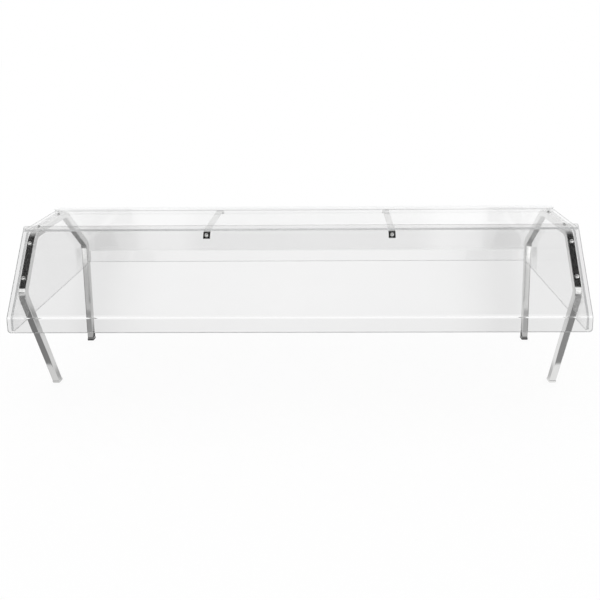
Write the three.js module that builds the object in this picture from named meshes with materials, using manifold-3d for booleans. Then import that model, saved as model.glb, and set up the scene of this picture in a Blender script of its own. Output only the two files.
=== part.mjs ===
// Counter-top sneeze guard: two bent square-tube end frames on plug feet carry a sloped front panel,
// a sloped rear panel, a level top panel and two end panels of clear sheet. Two formed strips tie the
// long panels together between the frames. Everything is held with button-head screws.
//
// Frame: millimetres, +Z up, the customer side faces -Y, origin on the counter under the middle.

import * as THREE from "three";
import { mergeVertices } from "three/addons/utils/BufferGeometryUtils.js";
import Module from "manifold-3d";

const wasm = await Module();
wasm.setup();

// ---------------------------------------------------------------- driving dimensions (mm, degrees)

const GAP = 0.3; // clearance between touching pieces

// End frames: one length of square tube, bent into an arch
const FRAME_HEIGHT = 488; // top of the tube above the counter
const KNEE_HEIGHT = 342; // outer corner of both knees above the counter
const TOP_RUN = 199; // level length between the two top corners
const REAR_SLOPE = 45; // rise of the rear slope from level
const FRONT_SLOPE = 60; // fall of the front slope from level
const FRONT_LEG_LEAN = 24.1; // front leg from upright, its foot set back under the guard
const TUBE = 19.05; // outer width of the square tube
const TUBE_WALL = 1.5;
const TUBE_EDGE = 2.4; // radius along the tube's four edges
const TUBE_BEND = 40; // outer radius of each bend

// Clear sheet
const PANEL_LENGTH = 1524; // front, rear and top panels
const SIDE_OVERHANG = 15; // run of those panels past the outer face of each end frame
const SHEET = 6; // sheet thickness
const SHEET_BEND = 9; // outer radius where a panel turns into its lip
const PANEL_RISE = 17; // top edges of the front and rear panels above the tube
const LIP_BOTTOM = 253; // lower edge of both lips above the counter
const LIP_HEIGHT = 41; // upright lip below each slope
const LIP_CORNER = 9; // radius of the lower corners of a long panel
const TOP_CORNER = 3; // radius of its upper corners
const END_PANEL_RISE = 2; // lower edge of an end panel above the lips' lower edges
const END_PANEL_CORNER = 5; // radius of an end panel's corners

// Strips between the frames
const BRACKET_SPACING = 508; // between the centres of the two strips
const BRACKET_WIDTH = 19;
const BRACKET_THICKNESS = 3;
const BRACKET_TAB = 20; // length of each turned-down tab
const BRACKET_BEND = 5; // outer radius of the strip's bends
const BRACKET_SCREW = 11; // screw from the bend's corner, along the tab

// Plug feet
const FOOT_THICKNESS = 8; // flange between the tube and the counter
const FOOT_PROUD = 1; // flange past the tube's faces
const FOOT_TONGUE = 18; // length inside the tube

// Fasteners: M5 button heads, threaded inserts in the tubes, hexagon nuts on the strips
const SCREW_RADIUS = 2.4;
const SCREW_LENGTH = 16;
const HOLE_CLEARANCE = 0.6; // clearance hole's radius less the screw's
const HEAD_RADIUS = 4.75;
const HEAD_RIM = 0.7; // straight edge of the head below its dome
const HEAD_HEIGHT = 2.75;
const HEAD_DOME = 0.72; // radius of the dome's middle ring, as a share of the head's
const SOCKET_ACROSS = 3; // hexagon socket across its flats
const SOCKET_DEPTH = 1.6;
const INSERT_WALL = 0.8;
const INSERT_LENGTH = 12;
const INSERT_FLANGE = 1.1; // width of the flange round the insert's body
const INSERT_FLANGE_THICKNESS = 0.6;
const NUT_ACROSS = 8;
const NUT_THICKNESS = 4;

// Screw places
const TOP_SCREW = 38; // from each top corner of the frame's outer face
const SLOPE_SCREW_UPPER = 0.065; // share of a slope's straight between its bends, from the top
const SLOPE_SCREW_LOWER = 0.81;
const END_SCREW_REAR_DROP = 13; // below the rear knee
const END_SCREW_FRONT_DROP = 33; // below the front knee

// Facets
const TUBE_SEGMENTS = 4; // along each bend of a tube
const SHEET_SEGMENTS = 10; // along each bend or rounded corner of a sheet or strip
const ROUND_SEGMENTS = 10; // round a screw, an insert or its pocket
const HOLE_SEGMENTS = 24; // round a clearance hole
const EDGE_SEGMENTS = 2; // across each rounded edge of a tube

// ---------------------------------------------------------------- sizes that follow from them

const radians = THREE.MathUtils.degToRad;
const tan = (degrees) => Math.tan(radians(degrees));
const sin = (degrees) => Math.sin(radians(degrees));
const cos = (degrees) => Math.cos(radians(degrees));

const SKIN = GAP + SHEET; // outer face of a panel above the frame's outer face
const HOLE_RADIUS = SCREW_RADIUS + HOLE_CLEARANCE; // through sheet and strip
const INSERT_BORE = SCREW_RADIUS + GAP;
const INSERT_RADIUS = INSERT_BORE + INSERT_WALL;
const FLANGE_RADIUS = INSERT_RADIUS + INSERT_FLANGE;
const FRAME_X = PANEL_LENGTH / 2 - SIDE_OVERHANG - TUBE / 2; // centre of an end frame
const SLOPE_RISE = FRAME_HEIGHT - KNEE_HEIGHT;
const LIP_TOP = LIP_BOTTOM + LIP_HEIGHT;
const PANEL_TOP = FRAME_HEIGHT + PANEL_RISE; // top edges of the front and rear panels
const END_PANEL_OUT = TUBE / 2 + GAP + SHEET / 2; // end panel's middle beyond the tube's
const OVERRUN = 1; // a cutter's run past the face that it cuts
const CUT_REACH = 2 * PANEL_LENGTH; // more than the whole guard, whichever way it is cut

// Distances forward of the rear leg's rear face
const rearTop = SLOPE_RISE / tan(REAR_SLOPE);
const frontTop = rearTop + TOP_RUN;
const frontKnee = frontTop + SLOPE_RISE / tan(FRONT_SLOPE);

// Forward distance of a line parallel to each slope, `out` mm outside the tube, at a height
function rearSlopeAt(height, out) {
  return rearTop - (FRAME_HEIGHT - height) / tan(REAR_SLOPE) - out / sin(REAR_SLOPE);
}

function frontSlopeAt(height, out) {
  return frontTop + (FRAME_HEIGHT - height) / tan(FRONT_SLOPE) + out / sin(FRONT_SLOPE);
}

const rearLip = rearSlopeAt(LIP_TOP, SKIN);
const frontLip = frontSlopeAt(LIP_TOP, SKIN);
const MIDDLE = (rearLip + frontLip) / 2; // so that the lips lie evenly about y = 0

// A point of the side profile: x is the object's Y, y is the object's Z
function at(forward, height) {
  return new THREE.Vector2(MIDDLE - forward, height);
}

// ---------------------------------------------------------------- profiles

const BELOW = -TUBE; // the frame's path starts under the counter, and is then cut off level

// The frame's outer face, from the rear foot over the top to the front foot
const framePath = [
  at(0, BELOW),
  at(0, KNEE_HEIGHT),
  at(rearTop, FRAME_HEIGHT),
  at(frontTop, FRAME_HEIGHT),
  at(frontKnee, KNEE_HEIGHT),
  at(frontKnee - (KNEE_HEIGHT - BELOW) * tan(FRONT_LEG_LEAN), BELOW),
];

// The outward normal of one straight of a path whose outside lies on its right
function outward(from, to) {
  const along = to.clone().sub(from).normalize();
  return new THREE.Vector2(along.y, -along.x);
}

// A path parallel to another, `distance` mm outside it
function offsetPath(path, distance) {
  return path.map((point, i) => {
    const before = outward(path[Math.max(i - 1, 0)], path[Math.max(i, 1)]);
    const last = path.length - 1;
    const after = outward(path[Math.min(i, last - 1)], path[Math.min(i + 1, last)]);
    const share = distance / (1 + before.dot(after));
    return point.clone().addScaledVector(before.add(after), share);
  });
}

// Adds a path to a shape, with an arc of the radius given for each of its inner corners
function addRounded(shape, path, radii) {
  path.forEach((corner, i) => {
    const radius = radii[i];
    if (i === 0 || i === path.length - 1 || radius <= 0) {
      shape.lineTo(corner.x, corner.y);
      return;
    }
    const back = path[i - 1].clone().sub(corner).normalize();
    const on = path[i + 1].clone().sub(corner).normalize();
    const half = back.angleTo(on) / 2;
    const middle = back.clone().add(on).normalize();
    const centre = corner.clone().addScaledVector(middle, radius / Math.sin(half));
    const reach = radius / Math.tan(half);
    const start = corner.clone().addScaledVector(back, reach).sub(centre);
    const end = corner.clone().addScaledVector(on, reach).sub(centre);
    const clockwise = start.cross(end) < 0;
    shape.lineTo(centre.x + start.x, centre.y + start.y);
    shape.absarc(centre.x, centre.y, radius, start.angle(), end.angle(), clockwise);
  });
}

// The outline of a strip bent along a path that is its outer face
function bentStrip(path, thickness, bend) {
  const shape = new THREE.Shape();
  shape.moveTo(path[0].x, path[0].y);
  addRounded(shape, path, path.map(() => bend));
  addRounded(shape, offsetPath(path, -thickness).reverse(), path.map(() => bend - thickness));
  shape.closePath();
  return shape;
}

// A closed outline, each corner rounded to its own radius
function roundedOutline(corners, radii) {
  const first = corners[0].clone().lerp(corners[1], 0.5);
  const shape = new THREE.Shape();
  shape.moveTo(first.x, first.y);
  const path = [first, ...corners.slice(1), corners[0], first];
  addRounded(shape, path, [0, ...radii.slice(1), radii[0], 0]);
  return shape;
}

// ---------------------------------------------------------------- solids

function solidOf(geometry) {
  geometry.deleteAttribute("normal");
  geometry.deleteAttribute("uv");
  const merged = mergeVertices(geometry, 1e-4);
  return new wasm.Manifold(
    new wasm.Mesh({
      numProp: 3,
      vertProperties: merged.attributes.position.array,
      triVerts: new Uint32Array(merged.index.array),
    }),
  );
}

function geometryOf(solid) {
  const mesh = solid.getMesh();
  const geometry = new THREE.BufferGeometry();
  geometry.setAttribute("position", new THREE.BufferAttribute(mesh.vertProperties, 3));
  geometry.setIndex(new THREE.BufferAttribute(mesh.triVerts, 1));
  geometry.computeVertexNormals();
  return geometry;
}

// Side profile (Y, Z) pushed out along X, centred on x = 0
const PROFILE_TO_WORLD = new THREE.Matrix4().makeBasis(
  new THREE.Vector3(0, 1, 0),
  new THREE.Vector3(0, 0, 1),
  new THREE.Vector3(1, 0, 0),
);

function acrossX(shape, width, segments, edge = 0) {
  const geometry = new THREE.ExtrudeGeometry(shape, {
    depth: width - 2 * edge,
    curveSegments: segments,
    bevelEnabled: edge > 0,
    bevelThickness: edge,
    bevelSize: edge,
    bevelOffset: -edge,
    bevelSegments: EDGE_SEGMENTS,
  });
  geometry.translate(0, 0, edge - width / 2);
  return solidOf(geometry.applyMatrix4(PROFILE_TO_WORLD));
}

// Everything between two heights
function slab(low, high) {
  const geometry = new THREE.BoxGeometry(CUT_REACH, CUT_REACH, high - low);
  return solidOf(geometry.translate(0, 0, (low + high) / 2));
}

// A turned solid about +Z from (radius, height) pairs, listed from the bottom up round the outside
function turned(pairs) {
  const points = pairs.map(([radius, height]) => new THREE.Vector2(radius, height));
  return solidOf(new THREE.LatheGeometry(points, ROUND_SEGMENTS).rotateX(Math.PI / 2));
}

// A prism about +Z between two heights, round unless it is given few sides
function prism(radius, low, high, sides = ROUND_SEGMENTS) {
  const geometry = new THREE.CylinderGeometry(radius, radius, high - low, sides);
  return solidOf(geometry.rotateX(Math.PI / 2).translate(0, 0, (low + high) / 2));
}

function hexagon(across, low, high) {
  return prism(across / 2 / cos(30), low, high, 6);
}

// The same solid with its +Z turned along a screw's axis and its origin at the screw's seat
function seated(solid, seat) {
  const turn = new THREE.Quaternion().setFromUnitVectors(new THREE.Vector3(0, 0, 1), seat.axis);
  const matrix = new THREE.Matrix4().compose(seat.point, turn, new THREE.Vector3(1, 1, 1));
  return solid.transform(matrix.elements);
}

// ---------------------------------------------------------------- screw places

// How far a bend reaches from a corner of the frame's path along the straights beside it
function bendReach(corner) {
  const back = framePath[corner - 1].clone().sub(framePath[corner]);
  const on = framePath[corner + 1].clone().sub(framePath[corner]);
  return TUBE_BEND / Math.tan(back.angleTo(on) / 2);
}

// A seat is a point on the frame's outer face and the direction in which the screw's head faces.
// It lies `distance` mm from corner `from` of the frame's path, towards corner `to`.
function seatOnPath(from, to, distance) {
  const [a, b] = [framePath[from], framePath[to]];
  const point = a.clone().addScaledVector(b.clone().sub(a).normalize(), distance);
  const normal = from < to ? outward(a, b) : outward(b, a);
  return {
    point: new THREE.Vector3(0, point.x, point.y),
    axis: new THREE.Vector3(0, normal.x, normal.y),
  };
}

// A seat at a share of the straight between a top corner's bend and its knee's bend
function seatOnSlope(top, knee, share) {
  const length = framePath[top].distanceTo(framePath[knee]);
  const straight = length - bendReach(top) - bendReach(knee);
  return seatOnPath(top, knee, bendReach(top) + share * straight);
}

// A seat on the tube's outer side, `drop` mm below a knee on the leg's centre line
function seatOnSide(side, leg, drop) {
  const lean = leg === "front" ? FRONT_LEG_LEAN : 0;
  const knee = leg === "front" ? frontKnee : 0;
  const inward = leg === "front" ? -1 : 1;
  const forward = knee - drop * tan(lean) + (inward * TUBE) / 2 / cos(lean);
  const point = at(forward, KNEE_HEIGHT - drop);
  return {
    point: new THREE.Vector3((side * TUBE) / 2, point.x, point.y),
    axis: new THREE.Vector3(side, 0, 0),
  };
}

const REAR_KNEE = 1;
const REAR_TOP = 2;
const FRONT_TOP = 3;
const FRONT_KNEE = 4;

// Every screw of one end frame, in the frame's own place
function frameSeats(side) {
  return {
    top_front: seatOnPath(FRONT_TOP, REAR_TOP, TOP_SCREW),
    top_rear: seatOnPath(REAR_TOP, FRONT_TOP, TOP_SCREW),
    front_upper: seatOnSlope(FRONT_TOP, FRONT_KNEE, SLOPE_SCREW_UPPER),
    front_lower: seatOnSlope(FRONT_TOP, FRONT_KNEE, SLOPE_SCREW_LOWER),
    rear_upper: seatOnSlope(REAR_TOP, REAR_KNEE, SLOPE_SCREW_UPPER),
    rear_lower: seatOnSlope(REAR_TOP, REAR_KNEE, SLOPE_SCREW_LOWER),
    end_front: seatOnSide(side, "front", END_SCREW_FRONT_DROP),
    end_rear: seatOnSide(side, "rear", END_SCREW_REAR_DROP),
  };
}

// The two screws of one strip, in the strip's own place
const stripSeats = {
  front: seatOnPath(FRONT_TOP, FRONT_KNEE, BRACKET_SCREW),
  rear: seatOnPath(REAR_TOP, REAR_KNEE, BRACKET_SCREW),
};

// A seat moved along X into another piece's place
function moved(seat, x) {
  return { point: seat.point.clone().add(new THREE.Vector3(x, 0, 0)), axis: seat.axis };
}

// ---------------------------------------------------------------- frame and feet

// The room for one threaded insert: a counterbore for its flange and a hole for its body
function insertPocket() {
  const flange = prism(FLANGE_RADIUS + GAP, -INSERT_FLANGE_THICKNESS - GAP, OVERRUN);
  return flange.add(prism(INSERT_RADIUS + GAP, -TUBE_WALL - OVERRUN, 0));
}

function endFrame(side) {
  const outline = bentStrip(framePath, TUBE, TUBE_BEND);
  const outer = acrossX(outline, TUBE, TUBE_SEGMENTS, TUBE_EDGE);
  const inside = TUBE - 2 * TUBE_WALL;
  const innerPath = offsetPath(framePath, -TUBE_WALL);
  const boreOutline = bentStrip(innerPath, inside, TUBE_BEND - TUBE_WALL);
  const bore = acrossX(boreOutline, inside, TUBE_SEGMENTS);
  let tube = outer.subtract(bore).intersect(slab(FOOT_THICKNESS + GAP, FRAME_HEIGHT + TUBE));
  for (const seat of Object.values(frameSeats(side))) {
    tube = tube.subtract(seated(insertPocket(), seat));
  }
  return tube;
}

function footPlug(leg) {
  const legPath = leg === "rear" ? framePath.slice(0, 2) : framePath.slice(-2);
  const width = TUBE + 2 * FOOT_PROUD;
  const flangeOutline = bentStrip(offsetPath(legPath, FOOT_PROUD), width, 0);
  const post = acrossX(flangeOutline, width, TUBE_SEGMENTS, TUBE_EDGE);
  const flange = post.intersect(slab(0, FOOT_THICKNESS));
  const inset = TUBE_WALL + GAP;
  const core = TUBE - 2 * inset;
  const tongueOutline = bentStrip(offsetPath(legPath, -inset), core, 0);
  const tongue = acrossX(tongueOutline, core, TUBE_SEGMENTS).intersect(
    slab(FOOT_THICKNESS / 2, FOOT_THICKNESS + FOOT_TONGUE),
  );
  return flange.add(tongue);
}

// ---------------------------------------------------------------- clear panels

// The blank that rounds a long panel's corners, seen from the front
function longBlank() {
  const half = PANEL_LENGTH / 2;
  const corners = [
    new THREE.Vector2(half, LIP_BOTTOM),
    new THREE.Vector2(half, PANEL_TOP),
    new THREE.Vector2(-half, PANEL_TOP),
    new THREE.Vector2(-half, LIP_BOTTOM),
  ];
  const outline = roundedOutline(corners, [LIP_CORNER, TOP_CORNER, TOP_CORNER, LIP_CORNER]);
  const geometry = new THREE.ExtrudeGeometry(outline, {
    depth: CUT_REACH,
    curveSegments: SHEET_SEGMENTS,
    bevelEnabled: false,
  });
  return solidOf(geometry.rotateX(Math.PI / 2).translate(0, CUT_REACH / 2, 0));
}

// Clearance holes where the named screws of both frames, and of both strips, pass through
function drilled(panel, frameScrews, stripScrew) {
  const drill = prism(HOLE_RADIUS, -GAP, SKIN + OVERRUN, HOLE_SEGMENTS);
  let result = panel;
  for (const side of [-1, 1]) {
    const seats = frameSeats(side);
    for (const name of frameScrews) {
      result = result.subtract(seated(drill, moved(seats[name], side * FRAME_X)));
    }
    if (stripScrew) {
      const seat = moved(stripSeats[stripScrew], (side * BRACKET_SPACING) / 2);
      result = result.subtract(seated(drill, seat));
    }
  }
  return result;
}

function slopedPanel(path, frameScrews, stripScrew) {
  const bent = acrossX(bentStrip(path, SHEET, SHEET_BEND), PANEL_LENGTH, SHEET_SEGMENTS);
  return drilled(bent.intersect(longBlank()), frameScrews, stripScrew);
}

function frontPanel() {
  const path = [
    at(frontSlopeAt(PANEL_TOP, SKIN), PANEL_TOP),
    at(frontLip, LIP_TOP),
    at(frontLip, LIP_BOTTOM),
  ];
  return slopedPanel(path, ["front_upper", "front_lower"], "front");
}

function rearPanel() {
  const path = [
    at(rearLip, LIP_BOTTOM),
    at(rearLip, LIP_TOP),
    at(rearSlopeAt(PANEL_TOP, SKIN), PANEL_TOP),
  ];
  return slopedPanel(path, ["rear_upper", "rear_lower"], "rear");
}

// Lies on the tubes, its two upper long edges just clear of the sloped panels
function topPanel() {
  const rear = rearTop + SKIN / tan(REAR_SLOPE);
  const front = frontTop - SKIN / tan(FRONT_SLOPE);
  const path = [at(rear, FRAME_HEIGHT + SKIN), at(front, FRAME_HEIGHT + SKIN)];
  const sheet = acrossX(bentStrip(path, SHEET, 0), PANEL_LENGTH, SHEET_SEGMENTS);
  return drilled(sheet, ["top_front", "top_rear"], null);
}

// Fills the end of the guard inside the long panels, on the outer side of the tube
function endPanel(side) {
  const low = LIP_BOTTOM + END_PANEL_RISE;
  const rear = rearLip + SKIN;
  const front = frontLip - SKIN;
  const corners = [
    at(rear, low),
    at(rear, FRAME_HEIGHT - (rearTop - rear) * tan(REAR_SLOPE)),
    at(rearTop, FRAME_HEIGHT),
    at(frontTop, FRAME_HEIGHT),
    at(front, FRAME_HEIGHT - (front - frontTop) * tan(FRONT_SLOPE)),
    at(front, low),
  ];
  const outline = roundedOutline(corners, corners.map(() => END_PANEL_CORNER));
  let sheet = acrossX(outline, SHEET, SHEET_SEGMENTS);
  const seats = frameSeats(side);
  const drill = prism(HOLE_RADIUS, -GAP, SKIN + OVERRUN, HOLE_SEGMENTS);
  for (const name of ["end_front", "end_rear"]) {
    sheet = sheet.subtract(seated(drill, moved(seats[name], -side * END_PANEL_OUT)));
  }
  return sheet;
}

// ---------------------------------------------------------------- strips and fasteners

function bracket() {
  const tabEnd = (corner, knee) => {
    const [a, b] = [framePath[corner], framePath[knee]];
    return a.clone().addScaledVector(b.clone().sub(a).normalize(), BRACKET_TAB);
  };
  const path = [
    tabEnd(REAR_TOP, REAR_KNEE),
    framePath[REAR_TOP],
    framePath[FRONT_TOP],
    tabEnd(FRONT_TOP, FRONT_KNEE),
  ];
  const drill = prism(HOLE_RADIUS, -BRACKET_THICKNESS - OVERRUN, OVERRUN, HOLE_SEGMENTS);
  const outline = bentStrip(path, BRACKET_THICKNESS, BRACKET_BEND);
  let strip = acrossX(outline, BRACKET_WIDTH, SHEET_SEGMENTS);
  for (const seat of Object.values(stripSeats)) {
    strip = strip.subtract(seated(drill, seat));
  }
  return strip;
}

// Origin under the head, shank down -Z
function screw() {
  const body = turned([
    [0, -SCREW_LENGTH],
    [SCREW_RADIUS, -SCREW_LENGTH],
    [SCREW_RADIUS, 0],
    [HEAD_RADIUS, 0],
    [HEAD_RADIUS, HEAD_RIM],
    [HEAD_RADIUS * HEAD_DOME, HEAD_RIM + (HEAD_HEIGHT - HEAD_RIM) * HEAD_DOME],
    [0, HEAD_HEIGHT],
  ]);
  const socket = hexagon(SOCKET_ACROSS, HEAD_HEIGHT - SOCKET_DEPTH, HEAD_HEIGHT + OVERRUN);
  return body.subtract(socket);
}

// Origin at the tube's outer face, body down -Z
function threadedInsert() {
  return turned([
    [INSERT_BORE, -INSERT_LENGTH],
    [INSERT_RADIUS, -INSERT_LENGTH],
    [INSERT_RADIUS, -INSERT_FLANGE_THICKNESS],
    [FLANGE_RADIUS, -INSERT_FLANGE_THICKNESS],
    [FLANGE_RADIUS, 0],
    [INSERT_BORE, 0],
    [INSERT_BORE, -INSERT_LENGTH],
  ]);
}

// Origin at the strip's outer face, the nut behind the strip
function nut() {
  const face = -BRACKET_THICKNESS - GAP;
  const blank = hexagon(NUT_ACROSS, face - NUT_THICKNESS, face);
  return blank.subtract(prism(INSERT_BORE, face - NUT_THICKNESS - OVERRUN, face + OVERRUN));
}

// ---------------------------------------------------------------- assembly

function polishedSteel() {
  return new THREE.MeshStandardMaterial({ color: 0xd9dbdd, metalness: 1, roughness: 0.08 });
}

function zincSteel() {
  return new THREE.MeshStandardMaterial({ color: 0xc3c5c6, metalness: 1, roughness: 0.3 });
}

function clearSheet() {
  return new THREE.MeshStandardMaterial({
    color: 0xe9f1f1,
    metalness: 0,
    roughness: 0.04,
    transparent: true,
    opacity: 0.3,
  });
}

function piece(parent, name, solid, material, x = 0) {
  const mesh = new THREE.Mesh(geometryOf(solid), material);
  mesh.name = name;
  mesh.position.x = x;
  parent.add(mesh);
  return mesh;
}

// A fastener made along +Z, set on its seat and raised `lift` mm out of it
function fastener(parent, name, solid, material, seat, lift = 0) {
  const mesh = piece(parent, name, solid, material);
  mesh.quaternion.setFromUnitVectors(new THREE.Vector3(0, 0, 1), seat.axis);
  mesh.position.copy(seat.point).addScaledVector(seat.axis, lift);
}

const guard = new THREE.Group();
const SCREW_LIFT = SKIN + GAP; // a screw's head clears the sheet that it holds

for (const [label, side] of [["left", -1], ["right", 1]]) {
  const end = new THREE.Group();
  end.position.x = side * FRAME_X;
  guard.add(end);
  piece(end, `${label}_end_frame`, endFrame(side), polishedSteel());
  piece(end, `${label}_front_foot`, footPlug("front"), polishedSteel());
  piece(end, `${label}_rear_foot`, footPlug("rear"), polishedSteel());
  piece(end, `${label}_end_panel`, endPanel(side), clearSheet(), side * END_PANEL_OUT);
  for (const [place, seat] of Object.entries(frameSeats(side))) {
    fastener(end, `${label}_${place}_screw`, screw(), polishedSteel(), seat, SCREW_LIFT);
    fastener(end, `${label}_${place}_insert`, threadedInsert(), zincSteel(), seat);
  }

  const tie = new THREE.Group();
  tie.position.x = (side * BRACKET_SPACING) / 2;
  guard.add(tie);
  piece(tie, `${label}_bracket`, bracket(), polishedSteel());
  for (const [place, seat] of Object.entries(stripSeats)) {
    fastener(tie, `${label}_bracket_${place}_screw`, screw(), polishedSteel(), seat, SCREW_LIFT);
    fastener(tie, `${label}_bracket_${place}_nut`, nut(), polishedSteel(), seat);
  }
}

piece(guard, "front_panel", frontPanel(), clearSheet());
piece(guard, "rear_panel", rearPanel(), clearSheet());
piece(guard, "top_panel", topPanel(), clearSheet());

export default guard;
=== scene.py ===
"""Counter-top sneeze guard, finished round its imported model.

Clear bent panels stand on two polished square-tube end frames with plug feet. Button-head screws in
threaded inserts hold the panels, and two formed strips tie them together between the frames.
Metres, +Z up, the customer side faces -Y.
"""

import math

import bmesh
import bpy
from mathutils import Matrix, Vector
from mathutils.bvhtree import BVHTree


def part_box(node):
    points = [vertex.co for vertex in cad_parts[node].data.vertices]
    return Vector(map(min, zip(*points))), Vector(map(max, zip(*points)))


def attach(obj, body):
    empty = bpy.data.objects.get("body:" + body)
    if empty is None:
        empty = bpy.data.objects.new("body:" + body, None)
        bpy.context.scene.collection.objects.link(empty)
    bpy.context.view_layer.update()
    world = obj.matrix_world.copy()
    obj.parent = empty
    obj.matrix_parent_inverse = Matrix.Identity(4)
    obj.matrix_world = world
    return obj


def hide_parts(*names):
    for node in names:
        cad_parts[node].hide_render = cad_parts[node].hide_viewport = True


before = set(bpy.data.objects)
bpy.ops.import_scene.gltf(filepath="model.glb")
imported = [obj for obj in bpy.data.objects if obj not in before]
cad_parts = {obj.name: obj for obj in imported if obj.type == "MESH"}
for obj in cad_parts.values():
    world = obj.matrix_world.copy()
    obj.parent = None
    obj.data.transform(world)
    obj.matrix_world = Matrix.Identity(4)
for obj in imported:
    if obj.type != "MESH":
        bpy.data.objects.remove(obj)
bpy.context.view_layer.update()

MM = 0.001
SIDES = (("left", -1), ("right", 1))
SCREW_PLACES = (
    "top_front", "top_rear", "front_upper", "front_lower",
    "rear_upper", "rear_lower", "end_front", "end_rear",
)

# ---------------------------------------------------------------- sizes

GAP = 0.3 * MM  # clearance between touching pieces

# End frame: square tube bent into an arch
KNEE_HEIGHT = 342 * MM  # outer corner of both knees
TOP_RUN = 199 * MM  # level length between the top corners
REAR_SLOPE = math.radians(45)
FRONT_SLOPE = math.radians(60)
FRONT_LEG_LEAN = math.radians(24.1)
TUBE_WALL = 1.5 * MM
TUBE_EDGE = 2.4 * MM  # radius along the tube's edges
TUBE_BEND = 40 * MM  # outer radius of each bend
BEND_STEPS = 28
CORNER_STEPS = 6

# Plug feet
FOOT_PROUD = 1 * MM  # how far the flange stands out from the tube
FOOT_THICKNESS = 8 * MM
FOOT_ROUND = 1.1 * MM
FOOT_ROUND_STEPS = 5
RIB_DEPTH = 0.8 * MM
RIBS = 4
RIB_SHAPE = ((0, 0.4), (1, 0.45), (1, 0.6), (0, 0.98))  # rib out or not, at a share of its height

# Sheets and strips
SHEET_ROUND = 0.45 * MM  # eased edge of the clear sheets
SHEET_REACH = 10 * MM  # more than a sheet's thickness, and less than its width
STRIP_ROUND = 0.3 * MM  # eased edge of the strips
ROUND_SEGMENTS = 3
SAME_POINT = 0.002 * MM  # vertices closer than this are one
FLAT_ANGLE = math.radians(0.4)  # faces that turn less than this are one face
EDGE_ANGLE = math.radians(50)  # edges that turn more than this are eased

# Screws, inserts and nuts
ROUND_STEPS = 36
SCREW_LENGTH = 16 * MM
SCREW_RADIUS = 2.4 * MM
SCREW_TIP = 0.8 * MM  # chamfered end
SCREW_NECK = 1.2 * MM  # smooth neck under the head
SCREW_TURN = 0.9  # each screw stops this much further round than the last
HEAD_RADIUS = 4.75 * MM
HEAD_RIM = 0.7 * MM
HEAD_HEIGHT = 2.75 * MM
HEAD_FLAT = 2.05 * MM  # radius of the flat land round the socket
HEAD_EASE = 0.15 * MM  # chamfer under the head, inwards
HEAD_EDGE = 0.12 * MM  # and upwards
DOME_STEPS = 9
SOCKET_ACROSS = 3 * MM
SOCKET_DEPTH = 1.6 * MM
SOCKET_MOUTH = 0.12 * MM  # chamfer round the socket's mouth
DRILL_POINT = 0.3 * MM  # depth of the cone at the socket's floor
THREAD_PITCH = 0.8 * MM
THREAD_DEPTH = 0.42 * MM
THREAD_RINGS = 5  # rings to one turn of thread
TIP_RADIUS = SCREW_RADIUS - THREAD_DEPTH - 0.2 * MM
INSERT_BORE = 2.7 * MM
INSERT_RADIUS = 3.5 * MM
INSERT_LENGTH = 12 * MM
INSERT_NECK = 2 * MM  # plain length above the knurl
INSERT_EDGE = 0.15 * MM
FLANGE_RADIUS = 4.6 * MM
FLANGE_THICKNESS = 0.6 * MM
KNURL_DEPTH = 0.15 * MM
KNURLS = 18
NUT_ACROSS = 8 * MM
NUT_THICKNESS = 4 * MM
NUT_FACE = 3.75 * MM  # radius of the round face left by the nut's chamfer
NUT_MOUTH = 0.2 * MM  # chamfer round the nut's bore
CHAMFER_STEPS = 4

# ---------------------------------------------------------------- the frame's own line

tube_low, tube_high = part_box("left_end_frame")
TUBE = tube_high.x - tube_low.x
RISE = tube_high.z - KNEE_HEIGHT
TUBE_FOOT = tube_low.z


def side_profile(low):
    """Corners of a tube's outer face as (y, z), from the rear foot over the top to the front foot."""
    rear = tube_high.y
    rear_top = rear - RISE / math.tan(REAR_SLOPE)
    front_top = rear_top - TOP_RUN
    front_knee = front_top - RISE / math.tan(FRONT_SLOPE)
    front_foot = front_knee + (KNEE_HEIGHT - low) * math.tan(FRONT_LEG_LEAN)
    return [
        Vector((rear, low)),
        Vector((rear, KNEE_HEIGHT)),
        Vector((rear_top, tube_high.z)),
        Vector((front_top, tube_high.z)),
        Vector((front_knee, KNEE_HEIGHT)),
        Vector((front_foot, low)),
    ]


UP = Vector((0, 0, 1))
FRONT_OUT = Vector((0, -math.sin(FRONT_SLOPE), math.cos(FRONT_SLOPE)))
REAR_OUT = Vector((0, math.sin(REAR_SLOPE), math.cos(REAR_SLOPE)))


def outward(place, side):
    """The way a screw's head faces."""
    if place.startswith("end"):
        return Vector((side, 0, 0))
    if place.startswith("top"):
        return UP
    return FRONT_OUT if place.startswith("front") else REAR_OUT


# ---------------------------------------------------------------- mesh tools


def new_object(name, mesh):
    made = bpy.data.objects.new(name, mesh)
    bpy.context.scene.collection.objects.link(made)
    return made


def skin(name, rings, closed=False):
    """A mesh over rings of points, each of as many points. It closes on itself, or has flat ends."""
    work = bmesh.new()
    uv = work.loops.layers.uv.new("UVMap")
    points = [[work.verts.new(point) for point in ring] for ring in rings]
    centres = [sum(ring, Vector()) / len(ring) for ring in rings]
    along = 0.0
    pairs = range(len(rings) if closed else len(rings) - 1)
    for i in pairs:
        lower, upper = points[i], points[(i + 1) % len(rings)]
        step = (centres[(i + 1) % len(rings)] - centres[i]).length
        across = 0.0
        for j, start in enumerate(lower):
            k = (j + 1) % len(lower)
            width = (lower[k].co - start.co).length
            face = work.faces.new((start, lower[k], upper[k], upper[j]))
            places = (across, along), (across + width, along)
            places += (across + width, along + step), (across, along + step)
            for loop, place in zip(face.loops, places):
                loop[uv].uv = place
            across += width
        along += step
    if not closed:
        work.faces.new(points[0])
        work.faces.new(points[-1])
    bmesh.ops.recalc_face_normals(work, faces=work.faces)
    mesh = bpy.data.meshes.new(name)
    work.to_mesh(mesh)
    work.free()
    return mesh


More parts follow.
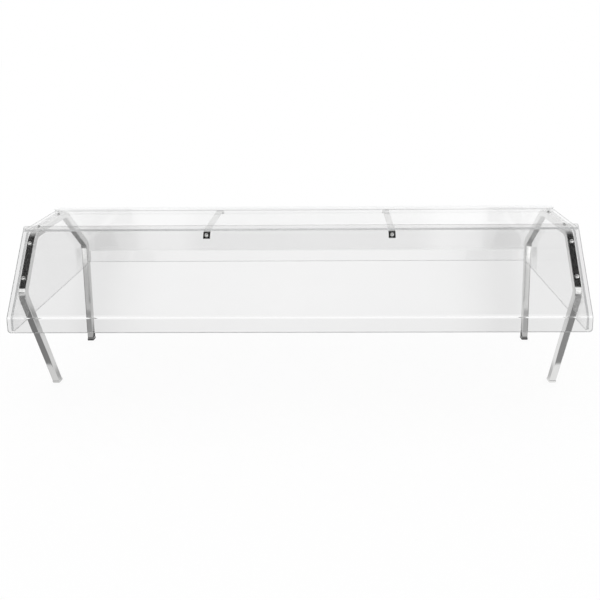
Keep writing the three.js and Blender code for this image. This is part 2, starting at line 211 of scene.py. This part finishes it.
def soften(piece, sharp_angle):
    """Smooth shading that leaves flat faces flat and sharp edges sharp."""
    piece.data.shade_smooth()
    piece.data.set_sharp_from_angle(angle=math.radians(sharp_angle))
    normals = piece.modifiers.new("flat_faces", "WEIGHTED_NORMAL")
    normals.keep_sharp = True
    normals.weight = 100


def round_ring(radius, height, steps=ROUND_STEPS):
    """A ring about Z. The radius may be a function of the angle."""
    ring = []
    for i in range(steps):
        angle = math.tau * i / steps
        reach = radius(angle) if callable(radius) else radius
        ring.append(Vector((reach * math.cos(angle), reach * math.sin(angle), height)))
    return ring


def hexagon(across):
    """The radius of a hexagon, as a function of the angle."""
    sixth = math.tau / 6
    return lambda angle: across / 2 / math.cos(angle % sixth - sixth / 2)


def rounded_square(size, radius):
    """The outline of a tube's section, centred, as (across, out) pairs."""
    reach = size / 2 - radius
    outline = []
    for quarter, (x, y) in enumerate(((1, 1), (-1, 1), (-1, -1), (1, -1))):
        for step in range(CORNER_STEPS + 1):
            angle = math.pi / 2 * (quarter + step / CORNER_STEPS)
            across = x * reach + radius * math.cos(angle)
            outline.append((across, y * reach + radius * math.sin(angle)))
    return outline


def stations(corners, radius):
    """Points and directions along a path of (y, z) corners, each inner corner turned to an arc."""
    found = [(corners[0], (corners[1] - corners[0]).normalized())]
    for before, corner, after in zip(corners, corners[1:], corners[2:]):
        back, on = (before - corner).normalized(), (after - corner).normalized()
        half = back.angle(on) / 2
        start = corner + back * radius / math.tan(half)
        centre = corner + (back + on).normalized() * radius / math.sin(half)
        turn = math.copysign(math.pi - 2 * half, on.x * back.y - on.y * back.x)
        for step in range(BEND_STEPS + 1):
            spin = Matrix.Rotation(turn * step / BEND_STEPS, 2)
            found.append((centre + spin @ (start - centre), spin @ -back))
    found.append((corners[-1], (corners[-1] - corners[-2]).normalized()))
    return found


def level(ring, along, height):
    """A ring slid along its own tube until all of it lies at one height."""
    return [point + along * (height - point.z) / along.z for point in ring]


def refined(node, edge):
    """A copy of a CAD node, its flat faces made whole and its sharp edges eased."""
    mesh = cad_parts[node].data.copy()
    work = bmesh.new()
    work.from_mesh(mesh)
    bmesh.ops.remove_doubles(work, verts=work.verts, dist=SAME_POINT)
    bmesh.ops.dissolve_limit(work, angle_limit=FLAT_ANGLE, verts=work.verts, edges=work.edges)
    work.to_mesh(mesh)
    work.free()
    mesh.materials.clear()
    made = new_object(f"{node}_finished", mesh)
    bevel = made.modifiers.new("eased_edges", "BEVEL")
    bevel.width = edge
    bevel.segments = ROUND_SEGMENTS
    bevel.limit_method = "ANGLE"
    bevel.angle_limit = EDGE_ANGLE
    bevel.miter_outer = "MITER_ARC"
    bevel.use_clamp_overlap = True
    soften(made, sharp_angle=60)
    return made


def finish_piece(piece, node, slot, *materials):
    """Gives a piece its finish, and lets it stand for its CAD node."""
    piece.data.materials.clear()
    for material in materials:
        piece.data.materials.append(material)
    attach(piece, "root")
    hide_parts(node)


def sheet(node, *materials):
    """A clear sheet. Its second material is for the faces it was sawn and drilled along."""
    piece = refined(node, SHEET_ROUND)
    finish_piece(piece, node, "clear_sheet", *materials)
    work = bmesh.new()
    work.from_mesh(piece.data)
    solid = BVHTree.FromBMesh(work)
    for loops in work.calc_loop_triangles():
        face = loops[0].face
        middle = sum((loop.vert.co for loop in loops), Vector()) / len(loops)
        behind = solid.ray_cast(middle - face.normal * GAP, -face.normal, SHEET_REACH)[0]
        face.material_index = 0 if behind else 1
    work.to_mesh(piece.data)
    work.free()


def cut(piece, cutters):
    """Takes the cutters' shapes out of a piece."""
    for cutter in cutters:
        modifier = piece.modifiers.new("cut", "BOOLEAN")
        modifier.object = cutter
        modifier.operation = "DIFFERENCE"
        modifier.solver = "EXACT"
    bpy.context.view_layer.update()
    evaluated = piece.evaluated_get(bpy.context.evaluated_depsgraph_get())
    mesh = bpy.data.meshes.new_from_object(evaluated)
    piece.modifiers.clear()
    piece.data = mesh
    for cutter in cutters:
        bpy.data.objects.remove(cutter)


def on_axis(node, axis, below=0.0, turn=0.0):
    """A place on a round CAD node's axis, `below` its highest point, with Z along the axis."""
    corners = [vertex.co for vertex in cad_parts[node].data.vertices]
    place = axis * (max(corner.dot(axis) for corner in corners) - below)
    across = axis.orthogonal().normalized()
    for direction in (across, axis.cross(across)):
        reach = [corner.dot(direction) for corner in corners]
        place += direction * (max(reach) + min(reach)) / 2
    upright = axis.to_track_quat("Z", "Y").to_matrix().to_4x4()
    return Matrix.Translation(place) @ upright @ Matrix.Rotation(turn, 4, "Z")


# ---------------------------------------------------------------- end frames and feet


def tube_rings(corners, x, size, radius, out):
    """Rings of a tube's skin whose section is centred half a tube inside the path."""
    section = rounded_square(size, radius)
    rings = []
    for point, along in stations(corners, TUBE_BEND):
        normal = Vector((0, along.y, -along.x))
        centre = Vector((x, point.x, point.y)) - normal * TUBE / 2
        rings.append([centre + Vector((across, 0, 0)) + normal * depth for across, depth in section])
    first, last = [Vector((0, *stations(corners, TUBE_BEND)[i][1])) for i in (0, -1)]
    rings[0] = level(rings[0], first, TUBE_FOOT)
    rings[-1] = level(rings[-1], last, TUBE_FOOT)
    return rings if out else rings[::-1]


def insert_pocket():
    """The counterbore and hole in a tube for one threaded insert, its top at the tube's face."""
    flange, body = FLANGE_RADIUS + GAP, INSERT_RADIUS + GAP
    floor = -FLANGE_THICKNESS - GAP
    steps = ((flange, MM), (flange, floor), (body, floor), (body, -2 * TUBE_WALL))
    return skin("pocket", [round_ring(radius, height) for radius, height in steps])


def end_frame(label, side, material):
    low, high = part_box(f"{label}_end_frame")
    x = (low.x + high.x) / 2
    corners = side_profile(TUBE_FOOT)
    inside = TUBE - 2 * TUBE_WALL
    rings = tube_rings(corners, x, TUBE, TUBE_EDGE, True)
    rings += tube_rings(corners, x, inside, TUBE_EDGE - TUBE_WALL, False)
    node = f"{label}_end_frame"
    piece = new_object(f"{node}_finished", skin(node, rings, closed=True))
    pocket = insert_pocket()
    cutters = []
    for place in SCREW_PLACES:
        cutter = new_object(f"{label}_{place}_pocket", pocket)
        cutter.matrix_world = on_axis(f"{label}_{place}_insert", outward(place, side))
        cutters.append(cutter)
    cut(piece, cutters)
    soften(piece, sharp_angle=35)
    finish_piece(piece, node, "polished_steel", material)


def plug_foot(label, leg, material):
    """A polished plug: a rounded flange under the tube, and a ribbed tongue inside it."""
    low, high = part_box(f"{label}_end_frame")
    x = (low.x + high.x) / 2
    lean = FRONT_LEG_LEAN if leg == "front" else 0.0
    outer = side_profile(0)[-1 if leg == "front" else 0].x
    inward = 1 if leg == "front" else -1
    middle = outer + inward * TUBE / 2 / math.cos(lean)
    wide = TUBE + 2 * FOOT_PROUD
    core = TUBE - 2 * (TUBE_WALL + GAP)
    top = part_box(f"{label}_{leg}_foot")[1].z
    narrow = core - RIB_DEPTH
    steps = []  # widths of the plug and the heights where it has them, from the counter up
    for edge, rising in ((FOOT_ROUND, 1), (FOOT_THICKNESS - FOOT_ROUND, -1)):
        turns = [math.pi / 2 * i / FOOT_ROUND_STEPS for i in range(FOOT_ROUND_STEPS + 1)]
        for turn in turns if rising > 0 else turns[::-1]:
            inset = FOOT_ROUND * (1 - math.sin(turn))
            steps.append((wide - 2 * inset, edge - rising * FOOT_ROUND * math.cos(turn)))
    steps.append((narrow, FOOT_THICKNESS))
    rib = (top - FOOT_THICKNESS) / RIBS
    for i in range(RIBS):
        for out, share in RIB_SHAPE:
            steps.append((core if out else narrow, FOOT_THICKNESS + (i + share) * rib))
    steps.append((narrow - 2 * RIB_DEPTH, top))
    rings = []
    stretch = 1 / math.cos(lean)  # the level section of a leaning tube is longer
    for size, height in steps:
        section = rounded_square(size, TUBE_EDGE + max(size - TUBE, 0) / 2)
        y = middle - height * math.tan(lean)
        rings.append([Vector((x + across, y + out * stretch, height)) for across, out in section])
    node = f"{label}_{leg}_foot"
    piece = new_object(f"{node}_finished", skin(node, rings))
    soften(piece, sharp_angle=50)
    finish_piece(piece, node, "polished_steel", material)


# ---------------------------------------------------------------- fasteners


def thread(height):
    """Radius of a screw's thread at one height, as a function of the angle."""

    def radius(angle):
        phase = (height / THREAD_PITCH - angle / math.tau) % 1
        return SCREW_RADIUS - THREAD_DEPTH * abs(2 * phase - 1)

    return radius


def screw_mesh():
    """Button-head screw with a hexagon socket. Its origin is under the head."""
    rings = [round_ring(TIP_RADIUS, -SCREW_LENGTH)]
    turns = (SCREW_LENGTH - SCREW_TIP - SCREW_NECK) / THREAD_PITCH
    count = round(turns * THREAD_RINGS)
    for i in range(count + 1):
        height = -SCREW_LENGTH + SCREW_TIP + i * THREAD_PITCH / THREAD_RINGS
        rings.append(round_ring(thread(height), height))
    rings.append(round_ring(SCREW_RADIUS, -SCREW_NECK))
    rings.append(round_ring(SCREW_RADIUS, 0))
    rings.append(round_ring(HEAD_RADIUS - HEAD_EASE, 0))
    rings.append(round_ring(HEAD_RADIUS, HEAD_EDGE))
    for i in range(DOME_STEPS + 1):
        share = i / DOME_STEPS
        radius = HEAD_RADIUS + (HEAD_FLAT - HEAD_RADIUS) * share
        fall = (radius**2 - HEAD_FLAT**2) / (HEAD_RADIUS**2 - HEAD_FLAT**2)
        rings.append(round_ring(radius, HEAD_HEIGHT - (HEAD_HEIGHT - HEAD_RIM) * fall))
    socket = hexagon(SOCKET_ACROSS)
    rings.append(round_ring(lambda angle: socket(angle) + SOCKET_MOUTH, HEAD_HEIGHT))
    rings.append(round_ring(socket, HEAD_HEIGHT - SOCKET_MOUTH))
    rings.append(round_ring(socket, HEAD_HEIGHT - SOCKET_DEPTH))
    rings.append(round_ring(SOCKET_ACROSS / 3, HEAD_HEIGHT - SOCKET_DEPTH - DRILL_POINT))
    return skin("screw", rings)


def insert_mesh():
    """Threaded insert with a flange and a knurled body, its top at the origin."""
    def knurl(angle):
        return INSERT_RADIUS - KNURL_DEPTH * (1 - math.cos(KNURLS * angle)) / 2

    steps = (
        (INSERT_BORE, 0), (FLANGE_RADIUS - INSERT_EDGE, 0), (FLANGE_RADIUS, -INSERT_EDGE),
        (FLANGE_RADIUS, -FLANGE_THICKNESS), (INSERT_RADIUS, -FLANGE_THICKNESS),
        (INSERT_RADIUS, -INSERT_NECK), (knurl, -INSERT_NECK - INSERT_EDGE),
        (knurl, INSERT_EDGE - INSERT_LENGTH), (INSERT_RADIUS - 2 * INSERT_EDGE, -INSERT_LENGTH),
        (INSERT_BORE, -INSERT_LENGTH),
    )
    rings = [round_ring(radius, height, 4 * KNURLS) for radius, height in steps]
    return skin("insert", rings, closed=True)


def nut_mesh():
    """Chamfered hexagon nut with its top at the origin."""
    outline = hexagon(NUT_ACROSS)
    corner = NUT_ACROSS / 2 / math.cos(math.radians(30))
    drop = (corner - NUT_FACE) * math.tan(math.radians(30))

    def chamfered(share):
        return lambda angle: min(outline(angle), NUT_FACE + (corner - NUT_FACE) * share)

    shares = [i / CHAMFER_STEPS for i in range(CHAMFER_STEPS + 1)]
    upper = [round_ring(chamfered(share), -drop * share) for share in shares]
    lower = [round_ring(chamfered(share), drop * share - NUT_THICKNESS) for share in shares[::-1]]
    wide = INSERT_BORE + NUT_MOUTH
    bore = [
        round_ring(wide, -NUT_THICKNESS), round_ring(INSERT_BORE, NUT_MOUTH - NUT_THICKNESS),
        round_ring(INSERT_BORE, -NUT_MOUTH), round_ring(wide, 0),
    ]
    return skin("nut", upper + lower + bore, closed=True)


def fastener(node, mesh, axis, below, turn, slot, material):
    piece = new_object(f"{node}_finished", mesh)
    piece.matrix_world = on_axis(node, axis, below, turn)
    soften(piece, sharp_angle=40)
    finish_piece(piece, node, slot, material)


# ---------------------------------------------------------------- materials

NOISE_LOW, NOISE_HIGH = 0.3, 0.7  # noise seldom leaves this range
TUBE_LINES = (2200, 26, 1)  # polishing lines: fine across the tube and long along it
STRIP_LINES = (2200, 26, 60)
TUBE_WAVES, TUBE_SCRATCHES = 3.0, 0.25  # their shares in the polished faces' height

def new_material(name):
    made = bpy.data.materials.new(name)
    made.use_nodes = True
    return made, made.node_tree, made.node_tree.nodes["Principled BSDF"]


def add(tree, kind, inputs=None, **settings):
    """Adds a node. An input is a value, or the socket that feeds it."""
    made = tree.nodes.new("ShaderNode" + kind)
    for key, value in settings.items():
        setattr(made, key, value)
    for key, value in (inputs or {}).items():
        if isinstance(value, bpy.types.NodeSocket):
            tree.links.new(value, made.inputs[key])
        else:
            made.inputs[key].default_value = value
    return made


def noise(tree, where, scale, detail=3.0, stretch=(1, 1, 1)):
    """Noise between 0 and 1, stretched along some axes."""
    placed = add(tree, "Mapping", {"Vector": where, "Scale": stretch}).outputs["Vector"]
    settings = {"Vector": placed, "Scale": scale, "Detail": detail, "Roughness": 0.6}
    return add(tree, "TexNoise", settings).outputs["Fac"]


def remap(tree, value, low, high, start=NOISE_LOW, end=NOISE_HIGH):
    """The value's range from start to end, turned into low to high."""
    inputs = {"Value": value, "From Min": start, "From Max": end, "To Min": low, "To Max": high}
    return add(tree, "MapRange", inputs).outputs["Result"]


def combine(tree, operation, first, second=0.0):
    made = add(tree, "Math", {0: first, 1: second}, operation=operation)
    return made.outputs["Value"]


def between(tree, value, low, high, soft):
    """1 between two levels, falling smoothly to 0 outside them."""
    rise = {"Value": value, "From Min": low - soft, "From Max": low, "To Min": 0.0, "To Max": 1.0}
    fall = {"Value": value, "From Min": high, "From Max": high + soft, "To Min": 1.0, "To Max": 0.0}
    risen, fallen = [
        add(tree, "MapRange", inputs, interpolation_type="SMOOTHSTEP").outputs["Result"]
        for inputs in (rise, fall)
    ]
    return combine(tree, "MULTIPLY", risen, fallen)


def blend_values(tree, factor, first, second):
    return add(tree, "Mix", {"Factor": factor, "A": first, "B": second}).outputs["Result"]


def tint(tree, value, dark, light):
    """A colour between two others."""
    mixed = add(tree, "Mix", {"Factor": value}, data_type="RGBA")
    mixed.inputs["A"].default_value = (*dark, 1)
    mixed.inputs["B"].default_value = (*light, 1)
    return mixed.outputs["Result"]


def set_ramp(ramp, stops, share=1.0):
    """Sets a ramp from (position, grey) stops, each grey divided by a share."""
    for position, grey in stops[1:-1]:
        ramp.elements.new(position)
    for stop, (position, grey) in zip(ramp.elements, stops):
        stop.position, stop.color = position, (*[grey / share] * 3, 1)


def bump(tree, shader, height, strength, distance):
    inputs = {"Height": height, "Strength": strength, "Distance": distance}
    tree.links.new(add(tree, "Bump", inputs).outputs["Normal"], shader.inputs["Normal"])


def polished_steel(name, coordinates, stretch):
    """Polished stainless steel with fine polishing lines and a few handling smudges."""
    made, tree, shader = new_material(name)
    place = add(tree, "TexCoord")
    lines = noise(tree, place.outputs[coordinates], scale=1.0, detail=5.0, stretch=stretch)
    smudges = noise(tree, place.outputs["Object"], scale=16.0, detail=4.0)
    haze = noise(tree, place.outputs["Object"], scale=5.0, detail=2.0)
    shader.inputs["Metallic"].default_value = 1.0
    brightness = remap(tree, lines, low=0.0, high=1.0)
    colour = tint(tree, brightness, dark=(0.72, 0.72, 0.715), light=(0.83, 0.83, 0.825))
    tree.links.new(colour, shader.inputs["Base Color"])
    fine = remap(tree, lines, low=0.05, high=0.12)
    smeared = remap(tree, smudges, low=0.0, high=0.10, start=0.52, end=0.72)
    worn = combine(tree, "MULTIPLY", smeared, haze)
    tree.links.new(combine(tree, "ADD", fine, worn), shader.inputs["Roughness"])
    waves = combine(tree, "MULTIPLY", haze, TUBE_WAVES)
    scratches = combine(tree, "MULTIPLY", lines, TUBE_SCRATCHES)
    height = combine(tree, "ADD", waves, scratches)
    bump(tree, shader, height, strength=0.35, distance=0.03 * MM)
    return made


def screw_steel():
    """Bright stainless fasteners, lightly brushed and pitted by forming."""
    made, tree, shader = new_material("screw_steel")
    where = add(tree, "TexCoord").outputs["Object"]
    grain = noise(tree, where, scale=900.0, detail=4.0)
    patches = noise(tree, where, scale=260.0, detail=2.0)
    shader.inputs["Metallic"].default_value = 1.0
    colour = tint(tree, patches, dark=(0.70, 0.70, 0.69), light=(0.86, 0.86, 0.85))
    tree.links.new(colour, shader.inputs["Base Color"])
    tree.links.new(remap(tree, grain, low=0.22, high=0.36), shader.inputs["Roughness"])
    bump(tree, shader, grain, strength=0.25, distance=0.02 * MM)
    return made


def plated_steel():
    """Zinc plate: a duller grey with a faint warm and cool bloom."""
    made, tree, shader = new_material("plated_steel")
    where = add(tree, "TexCoord").outputs["Object"]
    bloom = noise(tree, where, scale=180.0, detail=3.0)
    grain = noise(tree, where, scale=1400.0, detail=4.0)
    shader.inputs["Metallic"].default_value = 1.0
    colour = tint(tree, bloom, dark=(0.66, 0.65, 0.60), light=(0.74, 0.77, 0.80))
    tree.links.new(colour, shader.inputs["Base Color"])
    tree.links.new(remap(tree, grain, low=0.26, high=0.42), shader.inputs["Roughness"])
    bump(tree, shader, grain, strength=0.3, distance=0.02 * MM)
    return made


# Painted shade on the customer's sheet, by the distance from the middle: darker towards the frames
SHADE_NEAR_FRAMES = (
    (0.0, 0.985), (0.33, 0.97), (0.40, 0.955), (0.46, 0.92),
    (0.52, 0.865), (0.56, 0.86), (0.61, 0.905), (0.76, 0.905),
)
# the other sheets carry no painted shade
NO_PAINTED_SHADE = ((0.0, 1.0), (0.76, 1.0))
ACRYLIC = {"Color": (0.88, 0.9, 0.9, 1), "Density": 1.0}
LIP_TOP = 294 * MM  # the bend above the lips of the bent sheets
LIP_SOFT = 8 * MM
LIP_SHADE = 0.96  # painted shade: the lip's colour is multiplied by this
BEND_HIGHLIGHT = 2.5 * MM  # painted highlight: the sheet keeps its full clear colour this far each way of the bend
SHEET_IOR = 1.49
PAINTED_EDGE_GLOW = 0.16  # painted glow of the sheets' edges, standing in for light that the sheets carry to them


def clear_sheet(name, shade_stops, lip_shade):
    """Clear acrylic with wiping smudges, a slight waviness, painted shade and a painted bend
    highlight.
    """
    made, tree, shader = new_material(name)
    where = add(tree, "TexCoord").outputs["Object"]
    axes = add(tree, "SeparateXYZ", {"Vector": where}).outputs
    smudges = noise(tree, where, scale=7.0, detail=5.0, stretch=(1, 2, 2))
    waves = noise(tree, where, scale=4.0, detail=1.0)
    shader.inputs["Transmission Weight"].default_value = 1.0
    shader.inputs["IOR"].default_value = SHEET_IOR
    # painted shade: the sheet's colour darker towards the frames, by the stops
    tone = add(tree, "ValToRGB", {"Fac": combine(tree, "ABSOLUTE", axes["X"])})
    set_ramp(tone.color_ramp, shade_stops)
    # painted shade: the lip below the bend is darker
    lip = remap(tree, axes["Z"], lip_shade, 1.0, LIP_TOP - LIP_SOFT, LIP_TOP + LIP_SOFT)
    tone = combine(tree, "MULTIPLY", tone.outputs["Color"], lip)
    tone = combine(tree, "MULTIPLY", tone, remap(tree, smudges, low=0.988, high=1.0))
    # painted highlight: a lighter line along the bend
    bend = between(tree, axes["Z"], LIP_TOP - BEND_HIGHLIGHT, LIP_TOP + BEND_HIGHLIGHT, BEND_HIGHLIGHT)
    tone = blend_values(tree, bend, tone, 1.0)
    tree.links.new(tone, shader.inputs["Base Color"])
    greasy = remap(tree, smudges, low=0.0, high=0.02, start=0.5, end=0.8)
    tree.links.new(greasy, shader.inputs["Roughness"])
    bump(tree, shader, waves, strength=0.15, distance=0.2 * MM)
    absorbed = add(tree, "VolumeAbsorption", ACRYLIC).outputs["Volume"]
    tree.links.new(absorbed, tree.nodes["Material Output"].inputs["Volume"])
    return made


def sawn_edge_painted_glow():
    """The matt edges of the sheets, which gather light and look white, with a painted glow of their
    own.
    """
    made, tree, shader = new_material("sawn_edge_painted_glow")
    where = add(tree, "TexCoord").outputs["Object"]
    marks = noise(tree, where, scale=120.0, detail=4.0)
    colour = tint(tree, marks, dark=(0.84, 0.85, 0.85), light=(0.95, 0.955, 0.955))
    tree.links.new(colour, shader.inputs["Base Color"])
    # painted glow: the edges give off light though they are no lamp
    shader.inputs["Emission Color"].default_value = (1, 1, 1, 1)
    shader.inputs["Emission Strength"].default_value = PAINTED_EDGE_GLOW
    tree.links.new(remap(tree, marks, low=0.4, high=0.6), shader.inputs["Roughness"])
    bump(tree, shader, marks, strength=0.2, distance=0.05 * MM)
    return made


# ---------------------------------------------------------------- studio

WHITE = 1.0  # what the camera sees behind the guard, directly or through the sheets
INNER_WHITE = 0.75  # what light meets that a sheet's inside has reflected
FLOOR_GLOW = 0.9  # share of the floor's white that no shadow dims
# What polished faces reflect, by the angle about X from the front horizon over the top to the back
STUDIO_ARC = (
    (0, 1.5), (21, 1.5), (31, 0.004), (68, 0.004), (90, 0.3), (118, 0.85), (150, 1.0), (180, 1.0),
)
STUDIO_SIDES = 0.6  # what they reflect of the studio's far left and right
SIDE_SPREAD = 4.0  # the higher, the narrower those sides
STUDIO_PEAK = max(brightness for angle, brightness in STUDIO_ARC)
# What they reflect of the floor: painted light and shade, each patch painted over those before
# it: brightness, then the least and greatest distance from the middle, the same along Y, and the soft
# edge's width
FAR = 100.0
FLOOR_LIGHT = 0.85
FLOOR_PATCHES = (
    (0.52, (0.70, FAR), (-0.03, 0.40), 0.04),  # beside the rear feet
    (0.42, (-FAR, 0.40), (0.14, 0.36), 0.14),  # behind the middle
    (0.10, (0.70, 0.80), (0.165, 0.25), 0.004),  # under the rear feet
)
# The same for patches that spread out to the front
SPREAD_PATCHES = (
    (2.0, (0.80, 1.30), (-1.20, -0.66), 0.20),  # lights the top of the rear legs
    (0.28, (0.58, 0.797), (-FAR, -0.13), 0.010),  # darkens the front legs
    (0.15, (-FAR, 0.55), (-0.94, -0.66), 0.10),  # darkens the front lip
    (1.2, (-FAR, 2.2), (-FAR, -0.97), 0.04),  # lights the front knees
    (0.24, (0.856, FAR), (-0.30, 0.40), 0.012),  # darkens the rear slopes
)
SPREAD_MIDDLE = -0.02  # X that these patches' distances are measured from
SPREAD_RATE = 0.335  # their growth in width over one metre to the front
LIGHT_TO_RIGHT = 0.15  # rise of the floor's light over one metre to the right
FLOOR_REACH = 30.0
FLOOR_DROP = 0.2 * MM  # gap between the feet and the floor
INNER_BOUNCES = 128  # light that enters a sheet's edge is reflected many times inside it

# The camera, level with +X to the right before it is turned and shifted
CAMERA_PLACE = (0.0936, -1.7327, 1.0008)
CAMERA_PITCH = math.radians(7.925)  # down
CAMERA_YAW = math.radians(-0.832)  # to the right
CAMERA_ROLL = math.radians(-0.505)
CAMERA_SHIFT = (-0.04, -0.29)
LENS = SENSOR = 36.0


def at_least(tree, value, least):
    """1 for a whole number that is no smaller than the least, and 0 otherwise."""
    return combine(tree, "GREATER_THAN", value, least - 0.5)


def studio_light(tree, mirrored):
    """Brightness of the studio: white, but as mirrored where a polished face reflects it."""
    path = add(tree, "LightPath").outputs
    reflections, passes = path["Glossy Depth"], path["Transmission Depth"]
    # Light that leaves a sheet after one entry has been reflected by the sheet's own inside
    own = combine(tree, "SUBTRACT", 1.0, path["Is Glossy Ray"])
    own = combine(tree, "SUBTRACT", own, at_least(tree, passes, 3))
    own = combine(tree, "MAXIMUM", own, at_least(tree, reflections, 3))
    light = blend_values(tree, own, mirrored, INNER_WHITE)
    return blend_values(tree, at_least(tree, reflections, 1), WHITE, light)


def studio_world():
    """A white studio. Polished faces also mirror an unlit stretch of its front wall and ceiling."""
    world = bpy.data.worlds.new("studio")
    world.use_nodes = True
    world.cycles.sampling_method = "NONE"
    tree = world.node_tree
    direction = add(tree, "TexCoord").outputs["Generated"]
    axes = add(tree, "SeparateXYZ", {"Vector": direction}).outputs
    ahead = combine(tree, "MULTIPLY", axes["Y"], -1.0)
    angle = combine(tree, "ARCTAN2", axes["Z"], ahead)
    arc = add(tree, "ValToRGB", {"Fac": combine(tree, "DIVIDE", angle, math.pi)})
    arc.color_ramp.interpolation = "EASE"
    stops = [(degrees / 180, brightness) for degrees, brightness in STUDIO_ARC]
    set_ramp(arc.color_ramp, stops, STUDIO_PEAK)
    studio = combine(tree, "MULTIPLY", arc.outputs["Color"], STUDIO_PEAK)
    aside = combine(tree, "POWER", combine(tree, "ABSOLUTE", axes["X"]), SIDE_SPREAD)
    studio = blend_values(tree, aside, studio, STUDIO_SIDES)
    tree.links.new(studio_light(tree, studio), tree.nodes["Background"].inputs["Strength"])
    tree.nodes["Background"].inputs["Color"].default_value = (1, 1, 1, 1)
    bpy.context.scene.world = world


def painted(tree, brightness, across, along, patches):
    """Patches of floor painted over a brightness, one after another."""
    for light, wide, deep, soft in patches:
        inside = combine(
            tree, "MULTIPLY", between(tree, across, *wide, soft), between(tree, along, *deep, soft)
        )
        brightness = blend_values(tree, inside, brightness, light)
    return brightness


def floor_reflection(tree):
    """How bright the floor is in reflections: painted light and shade patches."""
    place = add(tree, "NewGeometry").outputs["Position"]
    axes = add(tree, "SeparateXYZ", {"Vector": place}).outputs
    aside = combine(tree, "ABSOLUTE", axes["X"])
    light = painted(tree, FLOOR_LIGHT, aside, axes["Y"], FLOOR_PATCHES)
    aside = combine(tree, "ABSOLUTE", combine(tree, "SUBTRACT", axes["X"], SPREAD_MIDDLE))
    spread = combine(tree, "MULTIPLY", axes["Y"], SPREAD_RATE)
    light = painted(tree, light, combine(tree, "ADD", aside, spread), axes["Y"], SPREAD_PATCHES)
    tilt = combine(tree, "MULTIPLY", axes["X"], LIGHT_TO_RIGHT)
    return combine(tree, "MULTIPLY", light, combine(tree, "ADD", tilt, 1.0))


def floor_material():
    """A white floor with soft, faint shadows."""
    made, tree, shader = new_material("floor")
    made.cycles.emission_sampling = "NONE"
    light = studio_light(tree, floor_reflection(tree))
    seen = add(tree, "Emission", {"Strength": light}).outputs["Emission"]
    matt = add(tree, "BsdfDiffuse", {"Color": (1, 1, 1, 1)}).outputs["BSDF"]
    reflected = at_least(tree, add(tree, "LightPath").outputs["Glossy Depth"], 1)
    share = combine(tree, "MAXIMUM", reflected, FLOOR_GLOW)
    mixed = add(tree, "MixShader", {0: share, 1: matt, 2: seen}).outputs["Shader"]
    tree.links.new(mixed, tree.nodes["Material Output"].inputs["Surface"])
    tree.nodes.remove(shader)
    return made


def floor():
    corners = [(x * FLOOR_REACH, y * FLOOR_REACH) for x, y in ((-1, -1), (1, -1), (1, 1), (-1, 1))]
    mesh = bpy.data.meshes.new("floor")
    mesh.from_pydata([(x, y, -FLOOR_DROP) for x, y in corners], [], [(0, 1, 2, 3)])
    mesh.materials.append(floor_material())
    new_object("floor", mesh)


def camera():
    data = bpy.data.cameras.new("camera")
    data.lens, data.sensor_width = LENS, SENSOR
    data.shift_x, data.shift_y = CAMERA_SHIFT
    made = bpy.data.objects.new("camera", data)
    bpy.context.scene.collection.objects.link(made)
    made.matrix_world = (
        Matrix.Translation(CAMERA_PLACE)
        @ Matrix.Rotation(-CAMERA_YAW, 4, "Z")
        @ Matrix.Rotation(math.pi / 2 - CAMERA_PITCH, 4, "X")
        @ Matrix.Rotation(CAMERA_ROLL, 4, "Z")
    )
    bpy.context.scene.camera = made


# ---------------------------------------------------------------- assembly


def build():
    tube_steel = polished_steel("polished_tube", "UV", TUBE_LINES)
    strip_steel = polished_steel("polished_strip", "Object", STRIP_LINES)
    fixing, plated = screw_steel(), plated_steel()
    # the customer's sheet carries painted shade towards the frames and on the lip
    shaded_front_sheet = clear_sheet("painted_shade_sheet", SHADE_NEAR_FRAMES, LIP_SHADE)
    clear = clear_sheet("clear_sheet", NO_PAINTED_SHADE, 1.0)
    # the sheets' sawn edges, with a painted glow
    edge = sawn_edge_painted_glow()
    screw, insert, nut = screw_mesh(), insert_mesh(), nut_mesh()

    sheet("front_panel", shaded_front_sheet, edge)
    sheet("rear_panel", clear, edge)
    sheet("top_panel", clear, edge)

    turn = 0.0
    for label, side in SIDES:
        end_frame(label, side, tube_steel)
        for leg in ("front", "rear"):
            plug_foot(label, leg, tube_steel)
        sheet(f"{label}_end_panel", clear, edge)
        for place in SCREW_PLACES:
            axis = outward(place, side)
            node = f"{label}_{place}_screw"
            fastener(node, screw, axis, HEAD_HEIGHT, turn, "screw_steel", fixing)
            fastener(f"{label}_{place}_insert", insert, axis, 0, turn, "plated_steel", plated)
            turn += SCREW_TURN

        strip = f"{label}_bracket"
        finish_piece(refined(strip, STRIP_ROUND), strip, "polished_steel", strip_steel)
        for place in ("front", "rear"):
            axis = outward(place, side)
            node = f"{label}_bracket_{place}_screw"
            fastener(node, screw, axis, HEAD_HEIGHT, turn, "screw_steel", fixing)
            fastener(f"{label}_bracket_{place}_nut", nut, axis, 0, turn, "screw_steel", fixing)
            turn += SCREW_TURN


def render_look():
    scene = bpy.context.scene
    scene.view_settings.view_transform = "Standard"
    for kind in ("max_bounces", "glossy_bounces", "transmission_bounces"):
        setattr(scene.cycles, kind, INNER_BOUNCES)


camera()
build()
floor()
studio_world()
render_look()
